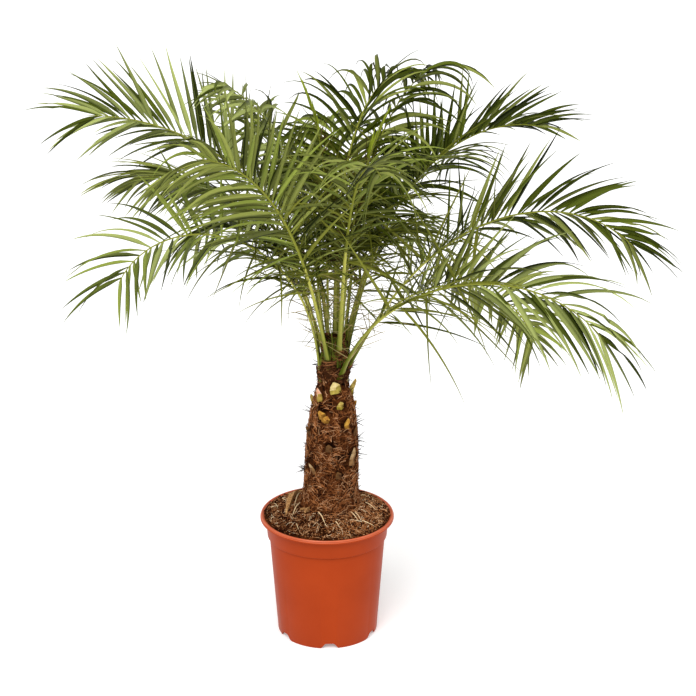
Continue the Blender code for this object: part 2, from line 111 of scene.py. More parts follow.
# Old leaf bases: angle in degrees, height, width, length, sideways lean in degrees, and kind
LEAF_BASES = (
    (-86, 0.478, 0.02, 0.019, 10, "cut"), (-138, 0.463, 0.012, 0.023, -4, "pink"),
    (-1, 0.468, 0.009, 0.027, 6, "green"), (-71, 0.448, 0.013, 0.014, 6, "green"),
    (-119, 0.43, 0.014, 0.016, 10, "amber"), (-106, 0.423, 0.013, 0.014, -25, "amber"),
    (-55, 0.413, 0.012, 0.017, 4, "amber"), (-40, 0.347, 0.011, 0.03, -6, "dry"),
    (-134, 0.326, 0.009, 0.02, 14, "dry"), (-97, 0.37, 0.012, 0.014, 0, "worn"),
    (-75, 0.318, 0.011, 0.013, 8, "worn"), (-28, 0.392, 0.01, 0.014, 0, "worn"),
    (-160, 0.392, 0.01, 0.014, 5, "worn"), (50, 0.47, 0.016, 0.018, -8, "cut"),
    (125, 0.462, 0.012, 0.024, 5, "pink"), (95, 0.44, 0.013, 0.017, 10, "green"),
    (152, 0.436, 0.012, 0.016, -12, "green"), (32, 0.425, 0.012, 0.015, 8, "amber"),
    (70, 0.405, 0.013, 0.015, -6, "amber"), (140, 0.39, 0.01, 0.016, 4, "dry"),
    (28, 0.375, 0.01, 0.016, -5, "dry"), (100, 0.36, 0.01, 0.013, 9, "worn"),
    (55, 0.335, 0.01, 0.016, 0, "dry"), (155, 0.335, 0.01, 0.014, -7, "worn"),
    (32, 0.315, 0.01, 0.012, 6, "worn"), (115, 0.305, 0.01, 0.013, -8, "worn"),
)

# Fronds
RIB_BASE_WIDTH = 0.0105
RIB_TIP_WIDTH = 0.0016
RIB_BASE_THICKNESS = 0.0055
RIB_TIP_THICKNESS = 0.0014
RIB_TAPER_POWER = 0.6
BLADE_START = 0.3
BLADE_END = 0.965
SEAT_DEPTH = 0.003
STEPS_PER_RIB = 120
SWING_POWER = 3
TWIST_END = 0.8
LEAFLET_LENGTH = 0.2
LEAFLET_WIDTH = 0.0133
LEAFLET_FOOT_WIDTH = 0.0036
LEAFLET_BASE_ANGLE = 65
LEAFLET_TIP_ANGLE = 20
LEAFLET_ANGLE_POWER = 1.3
LEAFLET_FIRST_GROWTH = 0.3
LEAFLET_FULL_SHARE = 0.45
LEAFLET_TIP_LOSS = 0.32
LEAFLET_LOSS_POWER = 1.8
LEAFLET_FOLD = 30
LEAFLET_KEEL = 0.0006
LEAFLET_RINGS = 12
LIGHT_START = 0.38
YOUNG_TIP_START = 0.8
THREADS_EACH = 26
SPINE_PAIRS = 6
SHEATH_BANDS = 26
SHEATH_FIBRES = 700
GREEN_FIBRES = 70

# View and light
CAMERA_PLACE = (0.0375, -3.4, 1.8)
CAMERA_DOWN = 20.3
LENS_MM = 107.5
LAMPS = (("key", (-0.8, -2.2, 2.6), 40, 2.1), ("fill", (2.0, -1.6, 2.2), 60, 0.7))

# Angles in degrees, lengths in metres. Open is how much wider than the source's angle the leaflets
# stand, lift how far both rows rise from the blade's plane, and sag how far their tips bend down.
# Shade is the frond's leaf colour. It is partly the frond's own colour and partly painted shade: the deep
# and olive shades dealt to most back fronds and to left_front stand for the shade they lie in.
Frond = namedtuple(
    "Frond", "name azimuth swing rise droop power length roll seat pairs blade open lift sag shade"
)
FRONDS = [Frond(*row) for row in (
    ("right_high", 12, 18, 76, 95, 2.2, 0.6, -40, 0.52, 58, 0.8, 3, 40, 22, "deep"),
    ("right_mid", 4, -10, 63, 114, 1.75, 0.65, -62, 0.505, 40, 0.92, -2, 20, 28, "deep"),
    ("right_low", -15, -50, 60, 112, 1.5, 0.61, -88, 0.492, 27, 1.05, -6, -8, 44, "light"),
    ("right_behind", 25, 12, 66, 138, 1.0, 0.515, -75, 0.49, 38, 0.85, 11, 36, 30, "olive"),
    ("left_low", 184, 10, 86, 155, 1.5, 0.55, 65, 0.494, 30, 0.95, 22, 14, 34, "fresh"),
    ("left_front", 225, 20, 72, 62, 2.5, 0.56, 55, 0.515, 50, 0.95, 6, 18, 42, "olive"),
    ("left_long", 178, -44, 86, 88, 1.15, 0.66, 70, 0.518, 46, 0.95, 2, 30, 22, "light"),
    ("left_behind", 162, 1, 88, 104, 1.3, 0.55, 45, 0.492, 52, 0.9, 0, -10, 25, "olive"),
    ("top_left", 192, 3, 85, 60, 2.8, 0.545, 20, 0.54, 44, 0.7, 32, -10, 40, "light"),
    ("top_right", 40, -5, 83, 73, 3.0, 0.565, -20, 0.535, 42, 0.85, 18, -8, 52, "deep"),
    ("front", 282, 10, 82, 95, 2.2, 0.57, 0, 0.53, 27, 0.95, 8, 26, 48, "olive"),
    ("back_top", 60, 28, 86, 92, 2.6, 0.55, 0, 0.545, 42, 0.9, 4, 30, 56, "deep"),
    ("back_right", 60, -4, 66, 95, 1.6, 0.58, -25, 0.514, 26, 0.95, 20, 6, 46, "deep"),
    ("back_mid", 95, -13, 74, 100, 1.8, 0.6, 0, 0.514, 26, 0.95, -4, 18, 50, "fresh"),
    ("back_left", 120, -12, 72, 80, 1.8, 0.6, 20, 0.514, 28, 0.95, -4, 18, 36, "olive"),
    ("back_low_right", 72, -4, 56, 110, 1.5, 0.54, 0, 0.49, 24, 0.95, -4, 18, 50, "light"),
    ("back_low_left", 128, -13, 58, 112, 1.5, 0.55, 10, 0.49, 24, 0.95, -4, 18, 50, "deep"),
    ("heart_left", 170, 0, 90, 26, 4.0, 0.455, 10, 0.555, 24, 0.7, 0, 24, 30, "young"),
    ("heart_right", 335, 0, 86, 22, 2.0, 0.42, -10, 0.555, 22, 0.65, 0, 24, 30, "young"),
)]
LEAF_COLOURS = {
    "deep": ((0.004, 0.007, 0.0001), (0.096, 0.124, 0.01)),
    "olive": ((0.009, 0.014, 0.0004), (0.3, 0.335, 0.076)),
    "fresh": ((0.01, 0.018, 0.0003), (0.265, 0.32, 0.056)),
    "light": ((0.025, 0.036, 0.001), (0.44, 0.5, 0.155)),
    "young": ((0.15, 0.19, 0.008), (0.33, 0.4, 0.036)),
}
SHADES = tuple(LEAF_COLOURS)


def set_values(node, **values):
    for socket, value in values.items():
        node.inputs[socket.replace("_", " ")].default_value = value


def surface(name, roughness, gloss):
    """A plain material and its shader."""
    material = bpy.data.materials.new(name)
    material.use_nodes = True
    shader = material.node_tree.nodes["Principled BSDF"]
    set_values(shader, Roughness=roughness, Specular_IOR_Level=gloss)
    return material, shader


def add_node(material, kind, source, entry, **values):
    """A new node, fed by a source at its entry."""
    node = material.node_tree.nodes.new("ShaderNode" + kind)
    set_values(node, **values)
    material.node_tree.links.new(source, node.inputs[entry])
    return node


def speckle(material, grain, detail):
    """Noise over a piece, grain patches to the metre."""
    place = material.node_tree.nodes.new("ShaderNodeTexCoord").outputs["Object"]
    noise = add_node(material, "TexNoise", place, "Vector", Scale=grain, Detail=detail)
    return noise.outputs["Fac"]


def drift(material, shader, share, dark, light, start=0.0, end=1.0):
    """Colours the shader from dark to light as the share goes from start to end."""
    ramp = add_node(material, "ValToRGB", share, "Fac")
    first, last = ramp.color_ramp.elements
    first.position, first.color = start, (*dark, 1)
    last.position, last.color = end, (*light, 1)
    material.node_tree.links.new(ramp.outputs["Color"], shader.inputs["Base Color"])


def finish(name, dark, light, grain, roughness, relief=0.0, relief_grain=400, gloss=0.03, patches=0.0):
    """Drifts between two colours, grain patches to the metre. Patches darkens or lights whole areas."""
    material, shader = surface(name, roughness, gloss)
    share = speckle(material, grain, 4)
    start, end = 0.32, 0.68
    if patches:
        both = add_node(material, "Math", share, 0)
        both.operation = "MULTIPLY"
        material.node_tree.links.new(speckle(material, patches, 1), both.inputs[1])
        share, start, end = both.outputs["Value"], start / 2, end / 2
    drift(material, shader, share, dark, light, start, end)
    if relief:
        bumps = speckle(material, relief_grain, 3)
        bump = add_node(material, "Bump", bumps, "Height", Distance=relief)
        material.node_tree.links.new(bump.outputs["Normal"], shader.inputs["Normal"])
    return material


def leaf_finish(name, dark, light):
    """Leaf skin: every leaflet's own tone, which also carries painted shade and painted highlight across
    leaflets and stalks, picks its colour between the two.
    """
    material, shader = surface(name, 0.4, 0.05)
    tone = material.node_tree.nodes.new("ShaderNodeAttribute")
    tone.attribute_name = "tone"
    drift(material, shader, tone.outputs["Fac"], dark, light)
    return material


def link(thing):
    bpy.context.scene.collection.objects.link(thing)
    return thing


def set_piece(piece, nodes=(), looks=(), crease=60):
    """Smooths a piece but for its creases, gives it its materials and sets it in the frame."""
    piece.data.shade_smooth()
    piece.data.set_sharp_from_angle(angle=math.radians(crease))
    for look in looks:
        piece.data.materials.append(look)
    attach(piece, "root")
    if nodes:
        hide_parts(*nodes)


class Heap:
    """Many small closed shapes joined into one mesh."""

    def __init__(self):
        self.points, self.faces, self.tones, self.count = [], [], [], 0

    def add(self, points, faces, tone=0.5):
        self.points.append(points)
        self.faces += [part + self.count for part in faces]
        self.tones.append(np.broadcast_to(tone, len(points)))
        self.count += len(points)

    def strand(self, path, radius, out=None):
        """A thin three-sided strand along a path, fading to a point."""
        turns = np.radians([0, 120, 240])
        thick = radius * (1 - np.linspace(0, 1, len(path))[:-1, None] ** 3)
        self.add(*loft(*framed(path, out), thick * np.cos(turns), thick * np.sin(turns)))

    def piece(self, name, material, slot="trunk_fibre", nodes=(), crease=40):
        points = np.concatenate(self.points)
        sizes = np.concatenate([np.full(len(part), part.shape[1]) for part in self.faces])
        corners = np.concatenate([part.ravel() for part in self.faces])
        mesh = bpy.data.meshes.new(name)
        mesh.vertices.add(len(points))
        mesh.vertices.foreach_set("co", points.ravel())
        mesh.loops.add(len(corners))
        mesh.loops.foreach_set("vertex_index", corners)
        mesh.polygons.add(len(sizes))
        mesh.polygons.foreach_set("loop_start", np.concatenate([[0], np.cumsum(sizes)[:-1]]))
        mesh.update(calc_edges=True)
        tone = mesh.attributes.new("tone", "FLOAT", "POINT")
        tone.data.foreach_set("value", np.concatenate(self.tones).astype(np.float32))
        set_piece(link(bpy.data.objects.new(name, mesh)), nodes, [material], crease)


def show_heaps(heaps, shades, roughness):
    """One piece for each heap, by its shade's name, dark and light colour."""
    for heap, (name, dark, light) in zip(heaps, shades):
        heap.piece(name, finish(name, dark, light, 90, roughness))


def unit(vectors):
    return vectors / np.linalg.norm(vectors, axis=-1, keepdims=True)


def columns(*parts):
    return np.stack(parts, axis=-1)


def framed(path, out=None):
    """A path with its sides and normals, out being their rough up, or else away from the trunk."""
    along = unit(np.gradient(path, axis=0))
    if out is None:
        out = np.append(path[0][:2] - trunk_middle(path[0][2]), 0.0)
    side = unit(np.cross(along, out))
    return path, side, np.cross(side, along)


def loft(centres, sides, normals, across, up):
    """A closed tube through rings of (across, up) points, closing to a point at its last centre."""
    rings, corners = across.shape
    middles, sides, normals = (rows[:rings, None] for rows in (centres, sides, normals))
    points = middles + across[..., None] * sides + up[..., None] * normals
    points = np.vstack([points.reshape(-1, 3), centres[-1:]])
    here = np.arange(rings * corners).reshape(rings, corners)
    after = np.roll(here, -1, axis=1)
    walls = columns(here[:-1], here[1:], after[1:], after[:-1]).reshape(-1, 4)
    tip = np.full(corners, rings * corners)
    point = columns(here[-1], tip, after[-1])
    fan = np.arange(1, corners - 1)
    end = columns(np.zeros_like(fan), fan, fan + 1)
    return points, [walls, point, end]


def deselect():
    for obj in bpy.context.selected_objects:
        obj.select_set(False)


def open_shape(add, **values):
    """A new primitive in edit mode, ready for changes face by face."""
    deselect()
    add(**values)
    bpy.ops.object.transform_apply()
    bpy.ops.object.mode_set(mode="EDIT")
    bpy.ops.mesh.select_mode(type="FACE")
    return bpy.context.object


def close_shape():
    """Turns every face outward and leaves edit mode."""
    bpy.ops.mesh.select_all(action="SELECT")
    bpy.ops.mesh.normals_make_consistent(inside=False)
    bpy.ops.object.mode_set(mode="OBJECT")


def select_end(piece, up=1):
    """Selects only the top face of a shape in edit mode, or with up at -1 its bottom one."""
    shape = bmesh.from_edit_mesh(piece.data)
    end = max(shape.faces, key=lambda face: face.calc_center_median().z * up)
    for face in shape.faces:
        face.select_set(False)
    end.select_set(True)
    bmesh.update_edit_mesh(piece.data)


def push(move, scale, **about):
    """Extrudes the selected end by a move, then scales it."""
    bpy.ops.mesh.extrude_region_move(TRANSFORM_OT_translate={"value": move})
    bpy.ops.transform.resize(value=scale, **about)


def draw_out(start, rings):
    """Extrudes the selected end through (radius, height) rings, as on a lathe."""
    radius, height = start
    for wide, high in rings:
        scale = wide / radius
        push((0, 0, high - height), (scale, scale, 1), center_override=(0, 0, high))
        radius, height = wide, high


def turn_up(name, sides, radius, bottom, top, rings):
    """A closed drum in edit mode, drawn up from its top through rings."""
    piece = open_shape(
        bpy.ops.mesh.primitive_cylinder_add, vertices=sides, radius=radius, depth=top - bottom,
        location=(0, 0, (top + bottom) / 2),
    )
    piece.name = name
    select_end(piece)
    draw_out((radius, top), rings)
    return piece


def roughen(piece, name, kind, size, strength, middle=0.5):
    """Heaves a piece's skin by noise of the given size."""
    texture = bpy.data.textures.new(name, kind)
    texture.noise_scale = size
    change = piece.modifiers.new(name, "DISPLACE")
    change.texture = texture
    change.strength = strength
    change.mid_level = middle
    return change


def apply_modifiers(piece):
    bpy.context.view_layer.objects.active = piece
    for modifier in list(piece.modifiers):
        bpy.ops.object.modifier_apply(modifier=modifier.name)


def pot_radius(height):
    step = SHOULDER_STEP if height >= SHOULDER_HEIGHT else 0
    return FOOT_RADIUS + WALL_FLARE * height + step


def make_pot():
    """The pot is drawn up from its foot, over the lip and down inside, then its skirt is notched."""
    outer, top, step, ease = pot_radius, POT_HEIGHT, SHOULDER_HEIGHT, SHOULDER_EASE
    lip_foot = top - LIP_HEIGHT
    bead = lip_foot + LIP_BEAD
    groove, web = bead + LIP_GROOVE, bead + LIP_WEB
    lip, rim, inner = LIP_RADIUS, LIP_RADIUS - WALL, LIP_INNER_RADIUS
    half, quarter = WALL / 2, WALL / 4
    foot = FOOT_RADIUS - FOOT_CHAMFER / 2
    floor = CHANNEL_HEIGHT + WALL
    low = step - 2 * ease
    wall = outer(lip_foot)
    rings = (
        (outer(FOOT_CHAMFER), FOOT_CHAMFER + 0.0002), (outer(low), low), (outer(low) - ease, step - ease),
        (outer(step) - ease, step - ease), (outer(step), step), (wall, lip_foot), (wall + ease, bead),
        (rim, bead), (rim, lip_foot), (lip - quarter, lip_foot), (lip, lip_foot + quarter),
        (lip, bead - quarter), (lip - WALL / 3, bead), (rim, bead), (rim, groove), (lip - half, groove),
        (lip - half, top - half), (rim, top), (inner + half, top), (inner, top - half),
        (inner - quarter, web), (wall - half, web), (wall - WALL, lip_foot - WALL),
        (outer(step) - WALL, step + WALL), (outer(low) - WALL, low), (outer(floor) - WALL, floor),
        (HUB_RADIUS, floor), (HUB_RADIUS - WALL, WALL),
    )
    pot = turn_up("pot_shell", POT_SIDES, foot, 0, FOOT_CHAMFER, rings)
    select_end(pot, -1)
    channel = (foot - WALL, CHANNEL_HEIGHT), (HUB_RADIUS + WALL, CHANNEL_HEIGHT)
    draw_out((foot, 0), ((foot - WALL, 0), *channel, (HUB_RADIUS, 0)))
    close_shape()
    edges = pot.modifiers.new("Edges", "BEVEL")
    edges.width = 0.0003
    edges.segments = 2
    apply_modifiers(pot)
    cutter = make_notch_cutter()
    for index in range(NOTCH_COUNT):
        cutter.rotation_euler.z = math.radians(NOTCH_FIRST_ANGLE + 360 / NOTCH_COUNT * index)
        cut = pot.modifiers.new("Notch", "BOOLEAN")
        cut.object = cutter
        cut.solver = "EXACT"
        apply_modifiers(pot)
    bpy.data.objects.remove(cutter)
    pot.data.materials.clear()
    # The lip's finish is paler than the wall's. The paler colour is a painted highlight of the light on
    # the rounded lip; its higher gloss is real.
    looks = [
        finish(name, dark, light, grain, roughness, 0.00004, 900, gloss)
        for name, dark, light, grain, roughness, gloss in (
            ("terracotta_plastic", (0.33, 0.038, 0.0052), (0.362, 0.043, 0.0062), 14, 0.42, 0.07),
            ("rim_painted_highlight", (0.53, 0.094, 0.026), (0.6, 0.122, 0.042), 30, 0.32, 0.45),
        )
    ]
    set_piece(pot, ["pot"], looks, 35)
    # Faces above the bead's middle, the lip, take the painted highlight.
    for face in pot.data.polygons:
        face.material_index = int(face.center.z > lip_foot + LIP_BEAD / 2)


def make_notch_cutter():
    """A wedge across the skirt, wide at its foot, with the corners of its top rounded."""
    cutter = open_shape(bpy.ops.mesh.primitive_cube_add, size=1, location=(FOOT_RADIUS, 0, 0))
    below = 2 * NOTCH_BOTTOM_WIDTH - NOTCH_TOP_WIDTH
    bpy.ops.transform.resize(value=(0.024, below, 2 * NOTCH_HEIGHT), center_override=(FOOT_RADIUS, 0, 0))
    select_end(cutter)
    bpy.ops.transform.resize(value=(1, NOTCH_TOP_WIDTH / below, 1))
    bpy.ops.mesh.select_mode(type="EDGE")
    shape = bmesh.from_edit_mesh(cutter.data)
    for edge in shape.edges:
        first, second = (vert.co for vert in edge.verts)
        radial = max(abs(first.z - second.z), abs(first.y - second.y)) < 0.001
        edge.select_set(radial and first.z > 0)
    bmesh.update_edit_mesh(cutter.data)
    bpy.ops.mesh.bevel(offset=0.003, segments=4)
    bpy.ops.object.mode_set(mode="OBJECT")
    return cutter


def soil_height(radius):
    radii, heights = zip(*SOIL_MOUND)
    return float(np.interp(radius, radii, heights))


def make_soil():
    """The compost fills the pot and its top is a rough mound round the trunk."""
    floor = CHANNEL_HEIGHT + 2 * WALL
    edge_radius, edge_height = SOIL_MOUND[-1]
    bottom_radius = pot_radius(floor) - 2 * WALL
    shoulder = SHOULDER_HEIGHT - 2 * WALL
    neck = POT_HEIGHT - LIP_HEIGHT - 2 * WALL
    web = POT_HEIGHT - LIP_HEIGHT + LIP_BEAD + LIP_WEB + 0.0002
    neck_radius = pot_radius(neck) - 2 * WALL
    rings = [
        (pot_radius(shoulder) - 2 * WALL, shoulder), (neck_radius, neck), (neck_radius, web),
        (edge_radius, web),
    ]
    radius = edge_radius
    while radius > TRUNK_RADII[0] - 0.014:
        rings.append((radius, soil_height(radius)))
        radius -= SOIL_RING_STEP
    soil = turn_up("compost", POT_SIDES, bottom_radius, floor, floor + WALL, rings)
    bpy.ops.object.mode_set(mode="OBJECT")
    top = soil.vertex_groups.new(name="top")
    for vert in soil.data.vertices:
        if vert.co.z > edge_height - WALL:
            spread = math.hypot(vert.co.x, vert.co.y)
            top.add([vert.index], min(1.0, (edge_radius + 0.002 - spread) / 0.01), "REPLACE")
    for name, size, strength in (("heaps", 0.02, 0.007), ("crumble", 0.004, 0.006)):
        change = roughen(soil, name, "CLOUDS", size, strength, 0.55)
        change.direction = "Z"
        change.vertex_group = "top"
    apply_modifiers(soil)
    compost = finish(
        "dark_compost", (0.01, 0.0024, 0.0008), (0.088, 0.024, 0.005), 260, 0.95,
        relief=0.002, relief_grain=700, patches=28,
    )
    set_piece(soil, ["soil"], [compost])


def chip(size):
    """A crumb of bark: a flattened box with every corner knocked about."""
    corners = np.array(
        [[x, y, z] for z in (-1, 1) for x, y in ((-1, -1), (1, -1), (1, 1), (-1, 1))], float
    )
    corners *= between(0.55, 1.1, (8, 3)) * size * np.array((1, 0.7, 0.5)) / 2
    spin = Matrix.Rotation(between(0, math.tau), 3, "Z") @ Matrix.Rotation(between(-0.9, 0.9), 3, "X")
    faces = np.array([[0, 3, 2, 1], [4, 5, 6, 7], [0, 1, 5, 4], [1, 2, 6, 5], [2, 3, 7, 6], [3, 0, 4, 7]])
    return corners @ np.array(spin).T, [faces]


def soil_place(radius, angle, stand=0.0):
    return np.array((radius * math.cos(angle), radius * math.sin(angle), soil_height(radius) + stand))


def make_crumbs():
    """Crumbs and bark chips; most of the brown and pale ones lie right of the trunk."""
    shades = (
        ("crumbs_dark", (0.01, 0.0024, 0.001), (0.055, 0.013, 0.004), 1900, 0.005),
        ("crumbs_brown", (0.15, 0.045, 0.015), (0.33, 0.135, 0.048), 1500, 0.0036),
        ("crumbs_rust", (0.27, 0.085, 0.025), (0.46, 0.18, 0.055), 420, 0.003),
        ("crumbs_tan", (0.48, 0.23, 0.095), (0.76, 0.45, 0.22), 760, 0.0026),
        ("crumbs_pale", (0.76, 0.56, 0.36), (0.92, 0.76, 0.56), 130, 0.0018),
    )
    for name, dark, light, count, largest in shades:
        heap = Heap()
        for _ in range(count):
            radius = math.sqrt(between(0.042**2, 0.1125**2))
            points, faces = chip(between(0.4, 1.0) * largest)
            angle = between(0, math.tau)
            if name == "crumbs_rust":
                angle, radius = bell(-0.9, 0.4), between(0.072, 0.108)
            elif name != "crumbs_dark" and math.cos(angle) < -0.1 and chance.random() < 0.6:
                angle = math.pi - angle
            heap.add(points + soil_place(radius, angle, between(-0.001, 0.002)), faces)
        heap.piece(name, finish(name, dark, light, 300, 0.9), "potting_soil")


def ground_path(place, bearing, length, curl, stand, steps=6):
    """A path that wanders over the compost, its bearing turning by curl."""
    place = np.array(place, float)
    path = []
    for step in range(steps + 1):
        share = step / steps
        spread = float(np.hypot(*place))
        if spread > SOIL_REACH:
            place = place * SOIL_REACH / spread
            spread = SOIL_REACH
        hump = math.sin(math.pi * share) * stand
        path.append((place[0], place[1], soil_height(spread) + 0.001 + hump))
        turn = bearing + curl * share
        place = place + np.array((math.cos(turn), math.sin(turn))) * length / steps
    return np.array(path)


def make_roots():
    """Root fibres over the compost, most of them running out from the trunk."""
    shades = (
        ("root_fibres_brown", (0.17, 0.055, 0.018), (0.36, 0.15, 0.056), 800, 0.00055),
        ("root_fibres_tan", (0.48, 0.23, 0.1), (0.74, 0.43, 0.22), 420, 0.00045),
        ("root_fibres_pale", (0.8, 0.58, 0.34), (0.94, 0.76, 0.52), 110, 0.00045),
    )
    for name, dark, light, count, thick in shades:
        heap = Heap()
        for _ in range(count):
            radius = math.sqrt(between(0.048**2, SOIL_REACH**2))
            angle = between(0, math.tau)
            path = ground_path(
                (radius * math.cos(angle), radius * math.sin(angle)), angle + bell(0, 1.2),
                between(0.006, 0.02), bell(0, 1.1), between(0.0, 0.002),
            )
            heap.strand(path, thick * between(0.6, 1.2), UP)
        heap.piece(name, finish(name, dark, light, 120, 0.75), "potting_soil")


# Stout roots left of the trunk's foot, and the longest pale straws: x, y, bearing in degrees, length,
# curl and thickness
THICK_ROOTS = (
    (-0.056, 0.07, 262, 0.11, -0.05, 0.0084), (-0.064, 0.068, 268, 0.07, 0.1, 0.003),
    (-0.027, -0.023, 235, 0.028, 0.3, 0.0052), (-0.038, -0.028, 200, 0.014, 0.8, 0.0036),
    (-0.058, 0.06, 60, 0.02, -0.8, 0.003),
)
PALE_STRAWS = (
    (-0.046, 0.007, 251, 0.057, 0.1, 0.0014), (-0.019, -0.029, 287, 0.058, 0.1, 0.0012),
    (0.015, -0.069, 301, 0.016, 0.0, 0.0009), (0.042, -0.038, 301, 0.028, 0.1, 0.0009),
    (0.05, -0.037, 300, 0.027, -0.1, 0.0008), (0.069, 0.011, 313, 0.027, 0.2, 0.0009),
    (0.07, 0.07, 253, 0.052, 0.0, 0.0008), (-0.083, 0.054, 282, 0.04, 0.2, 0.0008),
    (-0.097, 0.034, 290, 0.036, -0.2, 0.0007), (-0.054, -0.063, 279, 0.022, 0.2, 0.0007),
    (0.062, -0.054, 335, 0.026, 0.1, 0.0008), (-0.049, 0.066, 263, 0.088, 0.0, 0.0013),
    (-0.064, 0.058, 262, 0.076, 0.0, 0.0012),
)


def make_thick_roots():
    for name, dark, light, table in (
        ("thick_roots", (0.16, 0.055, 0.017), (0.66, 0.38, 0.15), THICK_ROOTS),
        ("pale_straws", (0.72, 0.48, 0.24), (0.88, 0.7, 0.44), PALE_STRAWS),
    ):
        heap = Heap()
        for x, y, bearing, length, curl, thick in table:
            path = ground_path((x, y), math.radians(bearing), length, curl, 0.002 + thick / 2, 9)
            heap.strand(path, thick, UP)
        bark = finish(name, dark, light, 320, 0.7, relief=0.0012, relief_grain=500)
        heap.piece(name, bark, "potting_soil", crease=70)


def trunk_middle(height):
    share = (height - TRUNK_HEIGHTS[0]) / (TRUNK_HEIGHTS[-1] - TRUNK_HEIGHTS[0])
    return TRUNK_FOOT + (TRUNK_HEAD - TRUNK_FOOT) * share


def trunk_radius(height):
    return float(np.interp(height, TRUNK_HEIGHTS, TRUNK_RADII))


def on_trunk(angle, height, stand=0.0):
    reach = trunk_radius(height) + stand
    x, y = trunk_middle(height)
    return np.array((x + reach * math.cos(angle), y + reach * math.sin(angle), height))


def neck_inset(height):
    """How far the skin draws in under the stalks."""
    return 0.003 * float(smooth_step((height - 0.462) / 0.03))


def skin_place(angle, height, stand=0.0):
    return on_trunk(angle, height, stand - neck_inset(height))


def arc(angle, height, degrees):
    """How far round the skin an angle lies from another that is given in degrees."""
    turn = (angle - math.radians(degrees) + math.pi) % math.tau - math.pi
    return turn * trunk_radius(height)


def hollow_depth(angle, height, swell=1.0):
    """How deep in a hollow a point of the skin lies, from 0 at its edge to 1 in its middle."""
    depth = 0.0
    for degrees, middle, half in HOLLOWS:
        across = arc(angle, height, degrees) / (half * swell * 0.6)
        along = (height - middle) / (half * swell * 1.3)
        depth = max(depth, 1 - math.hypot(across, along))
    return depth


def in_gap(path, swell=1.0):
    """Whether a fibre's start or middle lies in a hollow, over an old leaf base or in a ring round it,
    where the bare dark core is a painted shadow.
    """
    for place in (path[0], path[len(path) // 2]):
        height = float(place[2])
        x, y = trunk_middle(height)
        angle = math.atan2(place[1] - y, place[0] - x)
        if hollow_depth(angle, height, swell) > 0:
            return True
        for degrees, middle, width, length, *_ in LEAF_BASES:
            across = arc(angle, height, degrees) / (0.85 * width)
            if math.hypot(across, (height - middle) / (0.7 * length)) < 1:
                return True
    return False


def make_trunk_core():
    """The trunk under its fibres: heaved by leaf scars and sunk into its hollows."""
    foot = TRUNK_HEIGHTS[0] - 0.006
    heights = np.arange(foot + 2 * TRUNK_RING_STEP, TRUNK_HEIGHTS[-1], TRUNK_RING_STEP)
    rings = [(trunk_radius(height) - CORE_INSET - neck_inset(height), height) for height in heights]
    radius = trunk_radius(foot) - CORE_INSET
    core = turn_up("trunk_core", TRUNK_SIDES, radius, foot, foot + TRUNK_RING_STEP, rings)
    bpy.ops.object.mode_set(mode="OBJECT")
    roughen(core, "leaf_scars", "VORONOI", 0.022, 0.007)
    roughen(core, "matting", "CLOUDS", 0.006, 0.007)
    apply_modifiers(core)
    for vert in core.data.vertices:
        sunk = 1 - 0.35 * max(0.0, hollow_depth(math.atan2(vert.co.y, vert.co.x), vert.co.z))
        vert.co.xy = vert.co.xy * sunk + Vector(trunk_middle(vert.co.z))
    # The core's near-black colour is matted fibre and also painted shade. It shows between the fibres, in
    # the hollows and round the leaf bases.
    core_fibre_and_shade = finish(
        "matted_fibre_and_painted_shade", (0.009, 0.0022, 0.0008), (0.115, 0.034, 0.009), 170, 0.92,
        relief=0.0015, relief_grain=650, patches=30,
    )
    set_piece(core, ["trunk"], [core_fibre_and_shade])


def leaf_scars(count, first, last):
    """Angle and height of each old leaf scar, on the spiral that the leaves grow in."""
    for index in range(count):
        share = index / (count - 1)
        yield math.radians(GOLDEN_ANGLE * index), first + share * (last - first)


def trunk_path(angle, height, lean, curl, length, stand, lift, steps=5):
    """A path over the trunk's skin, lean its slant from upright, with its far end raised by lift."""
    path = []
    for step in range(steps + 1):
        share = step / steps
        path.append(skin_place(angle, height, stand + lift * share**2))
        slant = lean + curl * share
        height = min(height + math.cos(slant) * length / steps, TRUNK_HEIGHTS[-1])
        height = max(height, TRUNK_HEIGHTS[0] - 0.004)
        angle += math.sin(slant) * length / steps / trunk_radius(height)
    return np.array(path)


def make_trunk_fibres():
    """Fibres fan out from every old leaf scar, more lie over them, and their tones drift in patches."""
    shades = (
        ("fibres_dark", (0.036, 0.009, 0.003), (0.13, 0.04, 0.011)),
        ("fibres_brown", (0.24, 0.076, 0.022), (0.42, 0.165, 0.058)),
        ("fibres_pale", (0.42, 0.2, 0.092), (0.62, 0.35, 0.18)),
    )
    heaps = [Heap() for _ in shades]

    def lay(path, swell=1.0):
        if in_gap(path, swell):
            return
        thick = between(FIBRE_THIN, FIBRE_THICK)
        x, y, z = path[0]
        drift_here = math.sin(90 * x + 60 * z + 1) * math.sin(110 * z + 50 * y - 2)
        weights = np.array((0.34, 0.48, 0.18)) + drift_here * np.array((-0.16, 0.06, 0.1))
        heaps[chance.choice(3, p=weights / weights.sum())].strand(path, thick)

    for angle, height in leaf_scars(FIBRE_SCARS, 0.247, 0.49):
        for _ in range(FIBRES_EACH):
            hand = chance.choice((-1, 1))
            path = trunk_path(
                angle + hand * between(0.0, 0.3), height + between(-0.014, 0.012),
                hand * between(0.1, 1.6), hand * between(-0.8, 1.4), between(0.008, 0.024),
                between(-0.0035, 0.0004), chance.exponential(0.001),
            )
            lay(path)
    for _ in range(FIBRES_OVER):
        path = trunk_path(
            between(0, math.tau), chance.triangular(0.241, 0.245, 0.545), between(-1.7, 1.7),
            bell(0, 1.2), between(0.007, 0.02), between(-0.003, 0.0006), chance.exponential(0.0009),
        )
        lay(path, 0.8)
    show_heaps(heaps, shades, 0.85)


